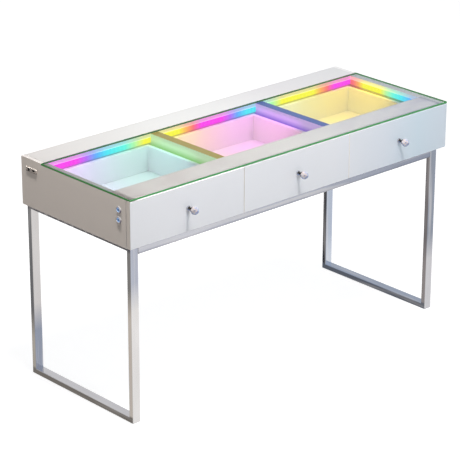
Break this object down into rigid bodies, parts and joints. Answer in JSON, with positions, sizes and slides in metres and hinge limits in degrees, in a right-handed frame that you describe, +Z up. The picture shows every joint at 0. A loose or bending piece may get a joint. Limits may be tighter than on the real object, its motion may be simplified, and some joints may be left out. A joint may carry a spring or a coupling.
{
  "type": "manicure table",
  "caption": "Long table with drawers under a clear glass top, colour-lit display wells, side push buttons and chrome sled legs.",
  "frame": {"origin": "on the floor, under the centre of the whole object's box, knobs and buttons included", "axes": "+X along the table, from the side with the buttons to the other side; the drawers open towards -Y; +Z up from the floor"},
  "size_m": [1.4008, 0.5759, 0.76],
  "materials": {
    "white_lacquer": "gloss",
    "drawer_bottom_board": "gloss",
    "clear_glass": "polished",
    "led_diffuser": "satin",
    "black_plastic": "satin",
    "port_plate_plastic": "satin",
    "socket_metal": "satin",
    "button_metal": "polished",
    "button_cap": "gloss",
    "knob_metal": "polished",
    "cut_glass": "polished",
    "runner_steel": "satin",
    "chrome": "polished",
    "lead_jacket": "satin"
  },
  "bodies": {
    "table": {"bottom_panel": "white_lacquer", "button_lead": "lead_jacket", "center_cabinet_runner_left": "runner_steel", "center_cabinet_runner_right": "runner_steel", "front_rail": "chrome", "front_top_strip": "white_lacquer", "glass_top": "clear_glass", "led_controller": "black_plastic", "led_strip_rear_center": "led_diffuser", "led_strip_rear_left": "led_diffuser", "led_strip_rear_right": "led_diffuser", "led_strip_side_left": "led_diffuser", "led_strip_side_right": "led_diffuser", "left_cabinet_runner_left": "runner_steel", "left_cabinet_runner_right": "runner_steel", "left_divider": "white_lacquer", "left_liner": "white_lacquer", "left_side_panel": "white_lacquer", "left_sled": "chrome", "lower_button_housing": "button_metal", "port_plate": "port_plate_plastic", "power_jack": "black_plastic", "power_lead": "lead_jacket", "rear_deck": "white_lacquer", "rear_panel": "white_lacquer", "rear_rail": "chrome", "right_cabinet_runner_left": "runner_steel", "right_cabinet_runner_right": "runner_steel", "right_divider": "white_lacquer", "right_liner": "white_lacquer", "right_side_panel": "white_lacquer", "right_sled": "chrome", "strip_lead": "lead_jacket", "upper_button_housing": "button_metal", "usb_lead": "lead_jacket", "usb_socket": "socket_metal", "well_back_wall": "white_lacquer"},
    "left_drawer": {"left_drawer_front": "white_lacquer", "left_drawer_box": "white_lacquer", "left_drawer_bottom": "drawer_bottom_board", "left_knob_stem": "knob_metal", "left_knob_ball": "cut_glass", "left_drawer_runner_left": "runner_steel", "left_drawer_runner_right": "runner_steel"},
    "center_drawer": {"center_drawer_front": "white_lacquer", "center_drawer_box": "white_lacquer", "center_drawer_bottom": "drawer_bottom_board", "center_knob_stem": "knob_metal", "center_knob_ball": "cut_glass", "center_drawer_runner_left": "runner_steel", "center_drawer_runner_right": "runner_steel"},
    "right_drawer": {"right_drawer_front": "white_lacquer", "right_drawer_box": "white_lacquer", "right_drawer_bottom": "drawer_bottom_board", "right_knob_stem": "knob_metal", "right_knob_ball": "cut_glass", "right_drawer_runner_left": "runner_steel", "right_drawer_runner_right": "runner_steel"},
    "upper_button": {"upper_button_cap": "button_cap"},
    "lower_button": {"lower_button_cap": "button_cap"}
  },
  "joints": [
    {"name": "left_drawer_slide", "type": "slide", "parent": "table", "child": "left_drawer", "axis": [0, -1, 0], "range_m": [0, 0.3]},
    {"name": "center_drawer_slide", "type": "slide", "parent": "table", "child": "center_drawer", "axis": [0, -1, 0], "range_m": [0, 0.3]},
    {"name": "right_drawer_slide", "type": "slide", "parent": "table", "child": "right_drawer", "axis": [0, -1, 0], "range_m": [0, 0.3]},
    {"name": "upper_button_press", "type": "slide", "parent": "table", "child": "upper_button", "axis": [1, 0, 0], "range_m": [0, 0.0015], "stiffness_N_per_m": 500, "springref_m": -0.001},
    {"name": "lower_button_press", "type": "slide", "parent": "table", "child": "lower_button", "axis": [1, 0, 0], "range_m": [0, 0.0015], "stiffness_N_per_m": 500, "springref_m": -0.001}
  ]
}
